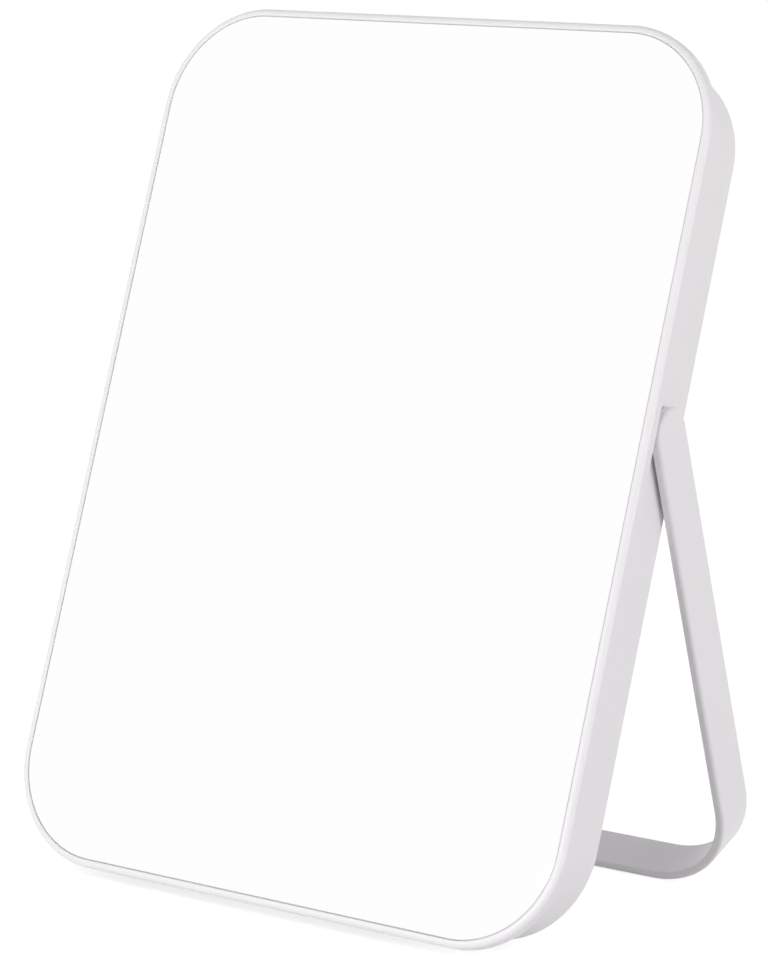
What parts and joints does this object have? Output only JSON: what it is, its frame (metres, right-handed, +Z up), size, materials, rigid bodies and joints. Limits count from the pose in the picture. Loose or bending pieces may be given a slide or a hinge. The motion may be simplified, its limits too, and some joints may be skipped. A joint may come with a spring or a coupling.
{
  "type": "folding desk mirror",
  "caption": "Upright rounded mirror in a slim white frame with a deep back cover, held up by a U-shaped stand that swings out of its sides and folds flat round the cover.",
  "frame": {"origin": "centre of the box round the open mirror, on the surface that it stands on", "axes": "+X to the mirror's right as seen from the front, -Y the way the glass faces, +Z up; stored open, leaning back on its stand"},
  "size_m": [0.174, 0.1108, 0.2304],
  "materials": {
    "white_plastic": "smooth satin-gloss moulding",
    "silvered_glass": "polished float glass silvered on its back",
    "foam_tape": "closed-cell foam, matte",
    "natural_nylon": "moulded natural nylon",
    "zinc_steel": "zinc plated",
    "spring_steel": "tempered and oiled"
  },
  "bodies": {
    "panel": {"front_frame": "white_plastic", "mirror_glass": "silvered_glass", "foam_tape_strips": "foam_tape", "frame_screws": "zinc_steel", "rear_cover": "white_plastic", "hinge_bush_right": "natural_nylon", "hinge_bush_left": "natural_nylon", "spring_washer_right": "spring_steel", "spring_washer_left": "spring_steel"},
    "stand": {"folding_stand": "white_plastic", "stop_disc_right": "natural_nylon", "stop_disc_left": "natural_nylon", "hinge_screw_right": "zinc_steel", "hinge_screw_left": "zinc_steel"}
  },
  "joints": [
    {"name": "stand_fold", "type": "hinge", "parent": "panel", "child": "stand", "pos_m": [0, 0.00009, 0.12927], "axis": [1, 0, 0], "range_deg": [-39.7, 0]}
  ]
}
